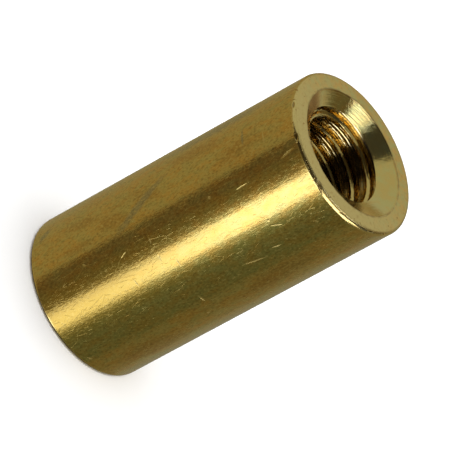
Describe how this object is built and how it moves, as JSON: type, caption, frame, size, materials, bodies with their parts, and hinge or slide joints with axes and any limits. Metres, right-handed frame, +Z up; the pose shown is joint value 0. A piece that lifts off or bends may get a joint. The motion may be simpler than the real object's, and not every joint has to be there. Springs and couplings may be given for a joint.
{
  "type": "round threaded standoff",
  "caption": "Round brass spacer, tapped right through with a right-hand thread and countersunk at both ends.",
  "frame": {"origin": "centre of the lower end face, which the standoff stands on", "axes": "+Z up along the axis of the barrel and of its threaded hole; the part is round about Z, so X and Y are free"},
  "size_m": [0.006, 0.006, 0.012],
  "materials": {
    "brass": "turned, tumbled and left bare, with fine scratches and faint brown tarnish"
  },
  "bodies": {
    "root": {"round_standoff": "brass"}
  },
  "joints": []
}
